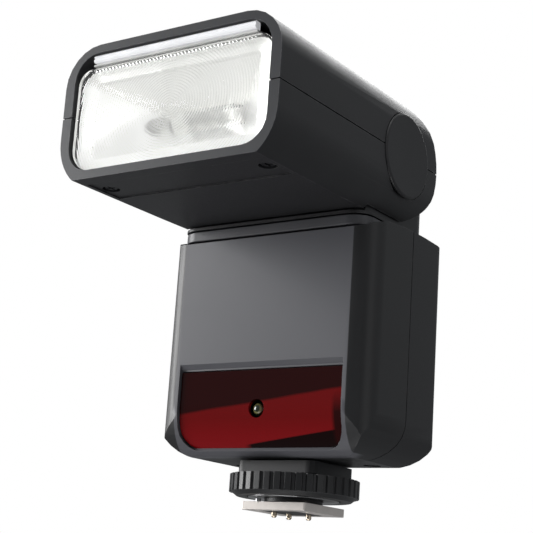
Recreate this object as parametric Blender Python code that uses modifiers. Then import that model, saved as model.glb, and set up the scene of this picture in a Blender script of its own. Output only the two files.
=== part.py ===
# Compact speedlight flash: a box-shaped lamp head on a turret, a battery body, and a camera shoe foot.
# Lengths are in millimetres and become metres through MM.
# +Z is up, the lamp faces -Y, and the origin is under the foot.
import math

import bmesh
import bpy
from mathutils import Matrix, Vector

MM = 0.001
GAP = 0.3  # clearance between pieces that meet

# Body casing
BODY_HALF_WIDTH = 30.2
BODY_FRONT = -19.1
BODY_REAR = 17.6
BODY_BOTTOM = 12.2
BODY_WALL = 1.8
CORNER_RADIUS = 11.0  # lower corners seen from the front
CORNER_Z = 22.5
PLATE_HALF_WIDTH = 24.8
PLATE_TOP = 66.0
SHOULDER_TOP = 69.1
ROOF_INSIDE = 64.6
SPLIT_Y = 0.4  # front and rear casings meet here

# Lamp head
HEAD_HALF_WIDTH = 31.0
HEAD_FRONT = -62.5
HEAD_BOTTOM = 70.5
HEAD_TOP = 103.7
HEAD_WALL = 1.8
HEAD_SPLIT = 86.4
MOUTH_HALF_WIDTH = 28.3
MOUTH_BOTTOM = 72.6
MOUTH_TOP = 101.7
TILT_Y = -6.3
TILT_Z = 86.4
ROUND_END = 15.7
CAP_RADIUS = 10.6

# Turret between body and head
TURRET_HALF_WIDTH = 26.8
NECK_HALF_WIDTH = 27.4
NECK_REAR = 13.0
COLLAR_LOW = 66.6
COLLAR_TOP = 69.1
TURRET_FRONT = -19.4
TURRET_REAR = 13.0
FLANGE_LOW = 69.4
FLANGE_TOP = 70.1
BARREL_RADIUS = 14.4

# Light source and zoom drive
LENS_FRONT = -61.4
LENS_THICK = 2.0
LENS_TOP = 98.4
REFLECTOR_FRONT = -58.4
REFLECTOR_DEPTH = 15.0
TUBE_RADIUS = 2.1
ROD_X = 26.0
ROD_Z = 77.0
SCREW_Z = 73.8

# Foot
FOOT_HALF = 9.3
FOOT_HALF_DEPTH = 9.2
FOOT_THICK = 2.0
RING_RADIUS = 16.1
RING_LOW = 4.3
RING_TOP = 8.6
RIB_COUNT = 38
STEM_RADIUS = 7.2
WASHER_RADIUS = 11.3
PEDESTAL_HALF = (11.4, 9.8)
LOCK_PIN = (-6.3, -6.2)
CONTACTS = ((-3.3, -3.3), (-2.8, 2.6), (2.5, 3.4))

# Battery and electrics
CELL_RADIUS = 7.25
CAPACITOR_RADIUS = 7.8
CAPACITOR_LENGTH = 38.0
CAPACITOR_CENTRE = (-2.5, 2.6, 56.0)
BOARD_LOW = (-26.0, -15.4, 37.0)
BOARD_HIGH = (26.0, -13.8, 64.0)
CELL_LENGTH = 50.5
CELL_Y = 4.8
CELL_Z = (24.0, 39.4)

# Rear controls: centre (x, z)
DIAL = (0.0, 28.4)
DIAL_RADIUS = 9.6
DIAL_RIBS = 36
SET_RADIUS = 4.6
ROUND_BUTTONS = {"test_button": (20.4, 25.0, 3.0)}
KEYS = {"mode_button": -13.0, "sync_button": 0.0, "zoom_button": 13.0}
KEY_Z = 41.2
SWITCH = (-20.4, 25.0)
LCD_Z = (46.6, 66.2)
LCD_HALF_WIDTH = 19.0

# Battery door and port cover on the -X side
DOOR_Y = (-3.7, 13.2)
DOOR_Z = (15.7, 48.0)
DOOR_PIN = (-29.2, -5.7)
KNUCKLE_Z = 31.0
PORT_Y = (-11.5, -1.5)
PORT_Z = (52.2, 58.4)

WINDOW_HALF_WIDTH = 23.6
WINDOW_TOP = 34.8
WINDOW_BOTTOM = 13.7
WINDOW_CORNER = 5.2
SENSOR = (-0.4, 23.3)
FRONT_WALL = 2.7

for old in list(bpy.data.objects):
    bpy.data.objects.remove(old)

parts = bpy.data.collections.new("speedlight_flash")
cutters = bpy.data.collections.new("cutters")
bpy.context.scene.collection.children.link(parts)
bpy.context.scene.collection.children.link(cutters)
cutters.hide_render = True


# Materials: colour, roughness, metallic
FINISHES = {
    "casing_black": ((0.030, 0.030, 0.033), 0.48, 0.0),
    "plate_graphite": ((0.055, 0.055, 0.062), 0.42, 0.0),
    "ring_black": ((0.012, 0.012, 0.014), 0.40, 0.0),
    "foot_nickel": ((0.72, 0.67, 0.62), 0.30, 1.0),
    "steel": ((0.55, 0.55, 0.56), 0.32, 1.0),
    "contact_gold": ((0.83, 0.66, 0.36), 0.25, 1.0),
    "window_red": ((0.20, 0.006, 0.008), 0.06, 0.0),
    "clear_plastic": ((0.90, 0.92, 0.93), 0.05, 0.0),
    "reflector_silver": ((0.93, 0.93, 0.94), 0.12, 1.0),
    "tube_glass": ((0.92, 0.94, 0.96), 0.03, 0.0),
    "card_white": ((0.86, 0.86, 0.84), 0.55, 0.0),
    "button_black": ((0.020, 0.020, 0.022), 0.55, 0.0),
    "rubber_black": ((0.014, 0.014, 0.014), 0.75, 0.0),
    "screen_glass": ((0.03, 0.035, 0.04), 0.08, 0.0),
    "screen_grey": ((0.42, 0.46, 0.40), 0.35, 0.0),
    "board_green": ((0.02, 0.12, 0.05), 0.45, 0.0),
    "capacitor_sleeve": ((0.02, 0.02, 0.03), 0.35, 0.0),
    "cell_sleeve": ((0.05, 0.16, 0.10), 0.30, 0.2),
    "coil_copper": ((0.55, 0.25, 0.10), 0.40, 1.0),
    "sensor_dark": ((0.010, 0.018, 0.012), 0.08, 0.0),
}


def material(finish):
    """One Principled material for each finish, shared by the pieces that have it."""
    if finish in bpy.data.materials:
        return bpy.data.materials[finish]
    made = bpy.data.materials.new(finish)
    made.use_nodes = True
    shader = made.node_tree.nodes["Principled BSDF"]
    colour, roughness, metallic = FINISHES[finish]
    shader.inputs["Base Color"].default_value = (*colour, 1.0)
    shader.inputs["Roughness"].default_value = roughness
    shader.inputs["Metallic"].default_value = metallic
    made.diffuse_color = (*colour, 1.0)
    return made


def place(obj, finish):
    """Puts a finished piece in the parts collection, or a shape that only cuts in the other one."""
    for home in list(obj.users_collection):
        home.objects.unlink(obj)
    if finish is None:
        cutters.objects.link(obj)
        obj.hide_render = True
        obj.display_type = "WIRE"
    else:
        parts.objects.link(obj)
        obj.data.materials.append(material(finish))
        obj.data.shade_smooth()
        obj.data.set_sharp_from_angle(angle=math.radians(32))
    return obj


def named(name, finish, size_mesh):
    obj = bpy.data.objects.new(name, size_mesh)
    return place(obj, finish)


def box(name, low, high, finish=None, bevel=0.0, segments=2):
    """A block between two corners, with its scale in the mesh and its edges bevelled."""
    mesh = bpy.data.meshes.new(name)
    shape = bmesh.new()
    bmesh.ops.create_cube(shape, size=1.0)
    size = [(b - a) * MM for a, b in zip(low, high)]
    bmesh.ops.scale(shape, vec=size, verts=shape.verts)
    shape.to_mesh(mesh)
    shape.free()
    obj = named(name, finish, mesh)
    obj.matrix_world = Matrix.Translation([(a + b) / 2 * MM for a, b in zip(low, high)])
    if bevel:
        rounding = obj.modifiers.new("rounding", "BEVEL")
        rounding.width = bevel * MM
        rounding.segments = segments
    return obj


AXIS_TURN = {
    "X": Matrix(((0, 0, 1), (1, 0, 0), (0, 1, 0))).to_4x4(),
    "Y": Matrix(((1, 0, 0), (0, 0, -1), (0, 1, 0))).to_4x4(),
    "Z": Matrix.Identity(4),
}


def cylinder(name, centre, radius, length, axis="Z", finish=None, sides=32, end_radius=None):
    """A rod or a cone frustum; end_radius is its radius at the far end of the axis."""
    mesh = bpy.data.meshes.new(name)
    shape = bmesh.new()
    far = radius if end_radius is None else end_radius
    bmesh.ops.create_cone(
        shape, cap_ends=True, segments=sides, radius1=radius * MM, radius2=far * MM, depth=length * MM
    )
    shape.to_mesh(mesh)
    shape.free()
    obj = named(name, finish, mesh)
    obj.matrix_world = Matrix.Translation(Vector(centre) * MM) @ AXIS_TURN[axis]
    return obj


def turned(name, centre, profile, axis="Z", finish=None, steps=32):
    """A turned piece: (radius, height) pairs from the top down the outer side, closed at the axis."""
    mesh = bpy.data.meshes.new(name)
    corners = [(r * MM, 0.0, h * MM) for r, h in profile]
    count = len(corners)
    closed = profile[0][0] > 0
    edges = [(i, i + 1) for i in range(count - 1)] + ([(count - 1, 0)] if closed else [])
    mesh.from_pydata(corners, edges, [])
    obj = named(name, finish, mesh)
    screw = obj.modifiers.new("turning", "SCREW")
    screw.steps = steps
    screw.render_steps = steps
    screw.use_merge_vertices = True
    screw.merge_threshold = 0.00001
    obj.matrix_world = Matrix.Translation(Vector(centre) * MM) @ AXIS_TURN[axis]
    return obj


def prism(name, outlines, axis, low, high, finish=None):
    """Flat outlines extruded along an axis: (x, y) pairs for Z, (y, z) for X and (x, z) for Y."""
    curve = bpy.data.curves.new(name, "CURVE")
    curve.dimensions = "2D"
    curve.fill_mode = "BOTH"
    curve.extrude = (high - low) / 2 * MM
    for outline in outlines:
        spline = curve.splines.new("POLY")
        spline.points.add(len(outline) - 1)
        for point, (a, b) in zip(spline.points, outline):
            point.co = (a * MM, b * MM, 0.0, 1.0)
        spline.use_cyclic_u = True
    guide = bpy.data.objects.new(name, curve)
    bpy.context.scene.collection.objects.link(guide)
    middle = {"X": (1, 0, 0), "Y": (0, 1, 0), "Z": (0, 0, 1)}[axis]
    guide.matrix_world = Matrix.Translation(Vector(middle) * (low + high) / 2 * MM) @ AXIS_TURN[axis]
    graph = bpy.context.evaluated_depsgraph_get()
    mesh = bpy.data.meshes.new_from_object(guide.evaluated_get(graph))
    shape = bmesh.new()
    shape.from_mesh(mesh)
    bmesh.ops.remove_doubles(shape, verts=shape.verts, dist=0.0000005)
    bmesh.ops.recalc_face_normals(shape, faces=shape.faces)
    shape.to_mesh(mesh)
    shape.free()
    matrix = guide.matrix_world.copy()
    bpy.data.objects.remove(guide)
    bpy.data.curves.remove(curve)
    mesh.name = name
    mesh.materials.clear()
    obj = named(name, finish, mesh)
    obj.matrix_world = matrix
    return obj


def combine(obj, other, operation="DIFFERENCE"):
    """Cuts, joins or keeps with another piece, which then only serves to shape this one."""
    step = obj.modifiers.new(operation.lower(), "BOOLEAN")
    step.operation = operation
    step.object = other
    return obj


def move_origin(obj, point):
    """Puts the origin on a joint's axis and leaves the shape where it is."""
    target = Vector(point) * MM
    shift = obj.matrix_world.inverted() @ target
    obj.data.transform(Matrix.Translation(-shift))
    obj.matrix_world = obj.matrix_world @ Matrix.Translation(shift)


def arc(cx, cy, radius, start, end, count=6, radius_y=None):
    """Points along an arc or an elliptical arc, angles in degrees."""
    ry = radius if radius_y is None else radius_y
    angles = [math.radians(start + (end - start) * i / count) for i in range(count + 1)]
    return [(cx + radius * math.cos(a), cy + ry * math.sin(a)) for a in angles]


def rounded(x0, x1, y0, y1, radius, count=4):
    """A rectangle with round corners, anticlockwise."""
    r = radius
    return (
        arc(x1 - r, y0 + r, r, -90, 0, count)
        + arc(x1 - r, y1 - r, r, 0, 90, count)
        + arc(x0 + r, y1 - r, r, 90, 180, count)
        + arc(x0 + r, y0 + r, r, 180, 270, count)
    )


def mirrored(half):
    """An outline from its +X half, listed from the bottom to the top."""
    return half + [(-x, y) for x, y in reversed(half)]


# ---- Body casing


def body_plan(inset):
    """The casing from above: flat front plate, crisp plate edges, full round corners."""
    half = [(PLATE_HALF_WIDTH - inset * 0.6, BODY_FRONT + inset)]
    side = BODY_HALF_WIDTH - inset
    front_y = BODY_FRONT + inset
    half += arc(side - 4.6, front_y + 6.4, 4.6, -62, 0, 5, 6.4 - 0.55)
    rear = 4.5 - inset / 2
    half += arc(side - rear, BODY_REAR - inset - rear, rear, 0, 90, 5)
    return mirrored(half)


def body_side(inset):
    """The casing from the side: crowned top, wide round front-bottom and rear-bottom edges."""
    front, rear = BODY_FRONT + (FRONT_WALL if inset == BODY_WALL else inset), BODY_REAR - inset
    low = BODY_BOTTOM + inset
    top = SHOULDER_TOP - ROOF_INSIDE if inset == BODY_WALL else inset
    points = arc(-12.0, low + 12.8 - inset, -12.0 - front, 180, 270, 7, 12.8 - inset)
    points += arc(8.4, low + 11.6 - inset, rear - 8.4, -90, 0, 7, 11.6 - inset)
    rear_drop = 0.5 if inset != BODY_WALL else 0.0
    points += [(rear, SHOULDER_TOP - rear_drop - top), (6.0, SHOULDER_TOP - top), (-4.0, SHOULDER_TOP - top)]
    if inset == BODY_WALL:
        return points + [(front, ROOF_INSIDE)]
    points += [(-12.0, SHOULDER_TOP - 0.7 - top), (-15.8, 67.4 - top), (-18.0, 66.4 - top)]
    points.append((front, PLATE_TOP - top))
    return points


def body_face(inset):
    """The casing from the front: round lower corners that end in a crisp edge on the underside."""
    side = BODY_HALF_WIDTH - inset
    radius = CORNER_RADIUS - inset
    start = -math.degrees(math.asin((CORNER_Z - BODY_BOTTOM - inset - 0.02) / (radius + 0.02)))
    half = arc(side - radius, CORNER_Z, radius, max(start, -68.0), 0, 6) + [(side, SHOULDER_TOP + 2.0)]
    return mirrored(half)


def body_solid(name, inset, finish=None):
    solid = prism(name, [body_plan(inset)], "Z", BODY_BOTTOM - 2, SHOULDER_TOP + 2, finish)
    side = prism(name + "_side", [body_side(inset)], "X", -35, 35)
    face = prism(name + "_face", [body_face(inset)], "Y", -25, 25)
    combine(solid, side, "INTERSECT")
    combine(solid, face, "INTERSECT")
    return solid


def front_zone(name, shift):
    """Everything ahead of the casing joint, which runs forward under the body."""
    y = SPLIT_Y + shift
    line = [(-9.5 + shift, 5.0), (-9.0 + shift, 11.5)]
    line += arc(y - 8.6, 20.4, 8.6, -62, 0, 5, 8.9)
    return prism(name, [line + [(y, 80.0), (-40.0, 80.0), (-40.0, 5.0)]], "X", -40, 40)


def window_band(name, inner, outer, z_top, grow, finish=None):
    """A band along the curved lower front, between two depths below the plate's surface."""
    surface = arc(-12.0, BODY_BOTTOM + 12.8, -12.0 - BODY_FRONT - outer, 180, 244, 6, 12.8 - outer)
    back = arc(-12.0, BODY_BOTTOM + 12.8, -12.0 - BODY_FRONT - inner, 244, 180, 6, 12.8 - inner)
    outline = [(BODY_FRONT + outer, z_top)] + surface + back + [(BODY_FRONT + inner, z_top)]
    band = prism(name, [outline], "X", -BODY_HALF_WIDTH, BODY_HALF_WIDTH, finish)
    side, low, r = WINDOW_HALF_WIDTH + grow, WINDOW_BOTTOM - grow, WINDOW_CORNER
    face = mirrored(arc(side - r, low + r, r, -90, 0, 5) + [(side, z_top + 8)])
    combine(band, prism(name + "_face", [face], "Y", -30, -8), "INTERSECT")
    return band


def build_body():
    cavity = body_solid("body_cavity", BODY_WALL)
    ahead = front_zone("ahead_of_joint", -GAP / 2)
    behind = front_zone("behind_joint", GAP / 2)
    neck_hole = cylinder("neck_hole", (0, 0, 68), 9.4, 10, sides=40)
    seat_plan = rounded(-NECK_HALF_WIDTH - GAP, NECK_HALF_WIDTH + GAP, -30, NECK_REAR + GAP, 5.2, 4)
    collar_seat = prism("collar_seat", [seat_plan],
                        "Z", COLLAR_LOW - GAP, 75)
    foot_hole = cylinder("foot_hole", (0, 0, 12), 5.2, 8, sides=32)
    door_hole = door_prism("door_hole", GAP)
    door_groove = cylinder("door_groove", (*DOOR_PIN, KNUCKLE_Z), 1.35, 12.2, sides=16)
    notch_low = KNUCKLE_Z - 5.3
    notch_high = KNUCKLE_Z + 5.3
    door_notch = box("door_notch", (-34, DOOR_PIN[1], notch_low), (-26, DOOR_Y[0] + 1, notch_high))
    pin_hole = cylinder("pin_hole", (*DOOR_PIN, KNUCKLE_Z), 0.65, 18.0, sides=12)
    port_hole = box("port_hole", (-34, -10.6, 53.3), (-26, -2.4, 57.3))
    port_seat = box("port_seat", (-34, PORT_Y[0], PORT_Z[0]), (-29.1, PORT_Y[1], PORT_Z[1]))

    front = body_solid("front_casing", 0, "plate_graphite")
    combine(front, cavity)
    combine(front, ahead, "INTERSECT")
    combine(front, window_band("window_seat", 2.1, -3.0, WINDOW_TOP - 1.8, 0.2))
    combine(front, prism("window_bevel", [[
        (BODY_FRONT - 1, WINDOW_TOP + 1.0), (BODY_FRONT + 1.0, WINDOW_TOP - 1.4),
        (BODY_FRONT + 1.0, WINDOW_TOP - 2.6), (BODY_FRONT - 1, WINDOW_TOP - 2.6)]], "X",
        -WINDOW_HALF_WIDTH - 0.2, WINDOW_HALF_WIDTH + 0.2))
    combine(front, box("sensor_opening", (-20, -22, 18.5), (20, -14, 31)))
    door_cuts = (door_hole, door_groove, door_notch, pin_hole)
    for hole in (neck_hole, collar_seat, foot_hole, *door_cuts, port_hole, port_seat):
        combine(front, hole)

    rear = body_solid("rear_casing", 0, "casing_black")
    combine(rear, cavity)
    combine(rear, behind)
    combine(rear, box("lcd_hole", (-17.0, 12, LCD_Z[0] + 1.8), (17.0, 22, LCD_Z[1] - 1.8)))
    lcd_low = (-LCD_HALF_WIDTH, BODY_REAR - 0.9, LCD_Z[0])
    combine(rear, box("lcd_seat", lcd_low, (LCD_HALF_WIDTH, 22, LCD_Z[1])))
    combine(rear, cylinder("dial_hole", (DIAL[0], 16, DIAL[1]), SET_RADIUS + 1.3, 8, "Y", sides=32))
    combine(rear, cylinder("dial_seat", (DIAL[0], 20, DIAL[1]), DIAL_RADIUS + 0.35, 5.6, "Y", sides=48))
    for name, (x, z, radius) in ROUND_BUTTONS.items():
        combine(rear, cylinder(name + "_hole", (x, 16, z), radius + GAP, 8, "Y", sides=24))
    for name, x in KEYS.items():
        combine(rear, prism(name + "_hole", [key_outline(x, GAP)], "Y", 12, 22))
    x, z = SWITCH
    combine(rear, box("switch_slot", (x - 1.6, 12, z - 3.6), (x + 1.6, 22, z + 3.6)))
    combine(rear, box("switch_seat", (x - 3.6, 16.9, z - 6.0), (x + 3.6, 22, z + 6.0)))
    for side, x in (("left", -19.0), ("right", 19.0)):
        combine(rear, cylinder("screw_seat_" + side, (x, 4.8, 12.6), 2.2, 1.8, sides=20))
        combine(rear, cylinder("screw_bore_" + side, (x, 4.8, 14.0), 1.1, 6.0, sides=16))
    for hole in (neck_hole, collar_seat, foot_hole, door_hole):
        combine(rear, hole)

    for side, x in (("left", -19.0), ("right", 19.0)):
        screw("body_screw_" + side, (x, 4.8, 12.55), 1.9, 0.8, 1.6)

    window = window_band("red_window", 1.8, 0.8, WINDOW_TOP - 2.1, -0.1, "window_red")
    combine(window, cylinder("sensor_hole", (SENSOR[0], -18, SENSOR[1]), 2.25, 8, "Y", sides=28))


def screw(name, head_centre, radius, height, shank):
    """A cross-head screw seen from below: its head at the bottom and a short shank above it."""
    x, y, z = head_centre
    head = turned(
        name, (x, y, z),
        [(0.0, height + shank), (0.8, height + shank), (0.8, height), (radius, height), (radius, 0.25),
         (radius - 0.35, 0.0), (0.0, 0.0)], finish="steel", steps=20)
    for i, (dx, dy) in enumerate(((1.25, 0.22), (0.22, 1.25))):
        combine(head, box(f"{name}_cross_{i}", (x - dx, y - dy, z - 1), (x + dx, y + dy, z + 0.45)))
    return head


# ---- Battery door, pin, port


def door_prism(name, grow):
    (y0, y1), (z0, z1) = DOOR_Y, DOOR_Z
    return prism(name, [rounded(y0 - grow, y1 + grow, z0 - grow, z1 + grow, 1.4 + grow, 3)], "X", -36, -18)


def build_door():
    door = body_solid("battery_door", 0, "casing_black")
    combine(door, body_solid("door_cavity", BODY_WALL - 0.2))
    combine(door, door_prism("door_outline", 0), "INTERSECT")
    combine(door, cylinder("free_edge_arc", (*DOOR_PIN, KNUCKLE_Z), 18.93, 60, sides=96), "INTERSECT")
    combine(door, cylinder("door_knuckle", (*DOOR_PIN, KNUCKLE_Z), 1.05, 10.0, sides=16), "UNION")
    combine(door, box("door_web", (-29.9, -5.3, KNUCKLE_Z - 5), (-29.0, -3.2, KNUCKLE_Z + 5)), "UNION")
    combine(door, cylinder("knuckle_bore", (*DOOR_PIN, KNUCKLE_Z), 0.65, 14.0, sides=12))
    for i in range(4):
        z = 37.5 + 1.8 * i
        combine(door, box(f"thumb_groove_{i}", (-32, 1.0, z), (-29.8, 8.0, z + 0.9)))
    move_origin(door, (*DOOR_PIN, KNUCKLE_Z))
    cylinder("battery_door_pin", (*DOOR_PIN, KNUCKLE_Z), 0.55, 17.2, finish="steel", sides=12)


def build_port():
    socket = box("usb_socket", (-28.0, -10.0, 53.7), (-22.5, -3.0, 56.9), "steel", 0.3, 1)
    combine(socket, box("usb_mouth", (-30.0, -9.4, 54.3), (-24.0, -3.6, 56.3)))
    cover_low = (-30.15, PORT_Y[0] + 0.25, PORT_Z[0] + 0.25)
    cover_high = (-29.4, PORT_Y[1] - 0.25, PORT_Z[1] - 0.25)
    cover = box("usb_cover", cover_low, cover_high,
                "rubber_black", 0.2, 1)
    combine(cover, box("cover_plug", (-29.6, -9.0, 54.6), (-28.4, -4.0, 56.0)), "UNION")
    combine(cover, box("cover_pull", (-30.6, -8.5, 57.4), (-29.9, -4.5, 58.0)), "UNION")
    move_origin(cover, (-30.25, -6.5, PORT_Z[0] + 0.1))


# ---- Rear controls


def key_outline(x, grow):
    return rounded(x - 4.6 - grow, x + 4.6 + grow, KEY_Z - 1.9 - grow, KEY_Z + 1.9 + grow, 1.2 + grow, 3)


def build_controls():
    for name, x in KEYS.items():
        key = prism(name, [key_outline(x, 0)], "Y", 15.0, BODY_REAR + 0.7, "button_black")
        flange = box(name + "_flange", (x - 5.2, 14.5, KEY_Z - 2.5), (x + 5.2, 15.4, KEY_Z + 2.5))
        combine(key, flange, "UNION")
    for name, (x, z, r) in ROUND_BUTTONS.items():
        length = BODY_REAR + 0.8 - 15.0
        button = cylinder(name, (x, 15.0 + length / 2, z), r, length, "Y", "button_black", 24)
        combine(button, cylinder(name + "_flange", (x, 14.95, z), r + 0.8, 0.9, "Y", sides=24), "UNION")
    dial_y = BODY_REAR - 0.1
    dial_bore = arc(*DIAL, SET_RADIUS + 0.35, 0, 348, 29)
    dial = prism("select_dial", [knurl(DIAL_RADIUS, 0.35, DIAL_RIBS, DIAL), dial_bore],
                 "Y", dial_y, dial_y + 1.25, "button_black")
    hub = cylinder("dial_hub", (DIAL[0], 16.2, DIAL[1]), SET_RADIUS + 1.0, 2.9, "Y", sides=30)
    combine(hub, cylinder("dial_bore", (DIAL[0], 16.0, DIAL[1]), SET_RADIUS + 0.35, 6, "Y", sides=30))
    combine(dial, hub, "UNION")
    move_origin(dial, (DIAL[0], dial_y, DIAL[1]))
    cylinder("set_button", (DIAL[0], 16.7, DIAL[1]), SET_RADIUS, 4.4, "Y", "button_black", 28)
    x, z = SWITCH
    knob = box("power_switch", (x - 2.9, 17.2, z - 3.8), (x + 2.9, 18.5, z + 0.2),
               "button_black", 0.3, 1)
    combine(knob, box("switch_stem", (x - 1.2, 15.0, z - 3.2), (x + 1.2, 17.4, z - 0.4)),
            "UNION")
    box("lcd_window", (-LCD_HALF_WIDTH + 0.25, BODY_REAR - 0.65, LCD_Z[0] + 0.25),
        (LCD_HALF_WIDTH - 0.25, BODY_REAR + 0.15, LCD_Z[1] - 0.25), "screen_glass", 0.25, 1)
    box("lcd_module", (-18.0, 12.4, LCD_Z[0]), (18.0, 15.3, 64.2), "screen_grey", 0.3, 1)


def knurl(radius, depth, count, centre=(0.0, 0.0)):
    """A round outline with wide flat ribs and narrow grooves between them."""
    points = []
    for i in range(count):
        for share, drop in ((0.0, depth), (0.10, 0.0), (0.66, 0.0), (0.76, depth)):
            r = radius - drop
            a = 2 * math.pi * (i + share) / count
            points.append((centre[0] + r * math.cos(a), centre[1] + r * math.sin(a)))
    return points


# ---- Electrics inside the body


def build_electrics():
    box("main_board", BOARD_LOW, BOARD_HIGH, "board_green", 0.0)
    r, half, groove = CAPACITOR_RADIUS, CAPACITOR_LENGTH / 2, CAPACITOR_RADIUS - 0.4
    can = [(0.0, half), (r - 0.6, half), (r, half - 0.6), (r, 2.0 - half), (groove, 1.5 - half)]
    can += [(groove, 0.9 - half), (r, 0.5 - half), (r - 0.6, -half), (0.0, -half)]
    turned("main_capacitor", CAPACITOR_CENTRE, can, "X", "capacitor_sleeve", 28)
    core = box("transformer", (18.0, -13.4, 49.0), (26.5, -3.0, 61.0), "coil_copper", 0.8, 1)
    combine(core, box("transformer_core", (16.8, -13.4, 52.5), (27.6, -5.0, 57.5)), "UNION")
    dome = [(0.0, 2.7), (0.8, 2.5), (1.4, 2.0), (1.9, 1.0), (1.9, 0.0)]
    flange = [(2.7, 0.0), (2.7, -1.6), (0.0, -1.6)]
    turned("photo_sensor", (SENSOR[0], -15.4, SENSOR[1]), dome + flange, "Y", "sensor_dark", 24)
    box("assist_lamp_board", (-18.0, -12.6, 17.5), (18.0, -11.4, 30.5), "board_green")
    for i, z in enumerate(CELL_Z):
        sign = 1 if i else -1
        turned(f"battery_cell_{i + 1}", (0, CELL_Y, z),
               [(0.0, sign * 25.25), (2.7, sign * 25.25), (2.7, sign * 24.2), (CELL_RADIUS, sign * 24.2),
                (CELL_RADIUS, -sign * 25.0), (0.0, -sign * 25.0)][::sign], "X", "cell_sleeve", 28)
    holder_out = stadium(CELL_RADIUS + 0.95)
    holder_in = stadium(CELL_RADIUS + 0.3)
    prism("battery_holder", [holder_out, holder_in], "X", -24.6, 25.0, "casing_black")
    contact = box("battery_contact", (26.2, 0.5, CELL_Z[0] - 4), (26.8, 9.1, CELL_Z[1] + 4), "steel")
    combine(contact, cylinder("spring_seat", (26.1, CELL_Y, CELL_Z[0]), 3.2, 0.8, "X", sides=16), "UNION")


def stadium(radius):
    return arc(CELL_Y, CELL_Z[0], radius, 180, 360, 12) + arc(CELL_Y, CELL_Z[1], radius, 0, 180, 12)


# ---- Foot


def build_foot():
    block = rounded(-PEDESTAL_HALF[0], PEDESTAL_HALF[0], -PEDESTAL_HALF[1], PEDESTAL_HALF[1], 2.4, 3)
    pedestal = prism("pedestal", [block], "Z", RING_TOP + GAP, BODY_BOTTOM - GAP,
                     "casing_black")
    combine(pedestal, cylinder("stem", (0, 0, 6.2), STEM_RADIUS, 7.8, sides=40), "UNION")
    combine(pedestal, cylinder("stem_bore", (0, 0, 8), 6.0, 16, sides=28))

    ring = prism("lock_ring", [knurl(RING_RADIUS, 0.55, RIB_COUNT)], "Z", RING_LOW, RING_TOP, "ring_black")
    skirt = RING_RADIUS - 0.7
    combine(ring, turned("ring_skirt", (0, 0, 0), [(0.0, 5.0), (skirt, 5.0), (skirt, RING_LOW),
                         (14.3, 3.4), (0.0, 3.4)], steps=44), "UNION")
    combine(ring, cylinder("ring_bore", (0, 0, 6), STEM_RADIUS + GAP, 12, sides=40))
    combine(ring, cylinder("ring_recess", (0, 0, 3.0), 11.6, 3.4, sides=40))
    washer_bore = arc(0, 0, STEM_RADIUS + GAP, 0, 348, 29)
    washer = prism("clamp_plate", [arc(0, 0, WASHER_RADIUS, 0, 351, 39), washer_bore], "Z", 3.25,
                   4.4, "steel")

    plate = prism("foot_plate", [rounded(-FOOT_HALF, FOOT_HALF, -FOOT_HALF_DEPTH, FOOT_HALF_DEPTH, 0.5, 2),
                                 rounded(-5.6, 5.0, -6.2, 6.8, 1.0, 2),
                                 arc(*LOCK_PIN, 1.0, 0, 330, 11)], "Z", 0.0, FOOT_THICK, "foot_nickel")
    insert = prism("contact_insert", [rounded(-5.3, 4.7, -5.9, 6.5, 0.8, 2)]
                   + [arc(x, y, 0.95, 0, 330, 11) for x, y in CONTACTS], "Z", 0.0, FOOT_THICK,
                   "casing_black")
    for i, (x, y) in enumerate(CONTACTS):
        turned(f"contact_pin_{i + 1}", (x, y, 0),
               [(0.0, 3.6), (1.0, 3.6), (1.0, 2.4), (0.7, 2.4), (0.7, -1.0), (0.45, -1.35), (0.0, -1.4)],
               finish="contact_gold", steps=14)
    turned("lock_pin", (*LOCK_PIN, 0), [(0.0, 3.0), (0.7, 3.0), (0.7, 0.6), (0.5, 0.35), (0.0, 0.35)],
           finish="steel", steps=14)


# ---- Turret


def turret_plan(grow=0.0):
    corner = 5.0
    side = TURRET_HALF_WIDTH + grow
    return rounded(-side, side, TURRET_FRONT, TURRET_REAR, corner, 5)


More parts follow.
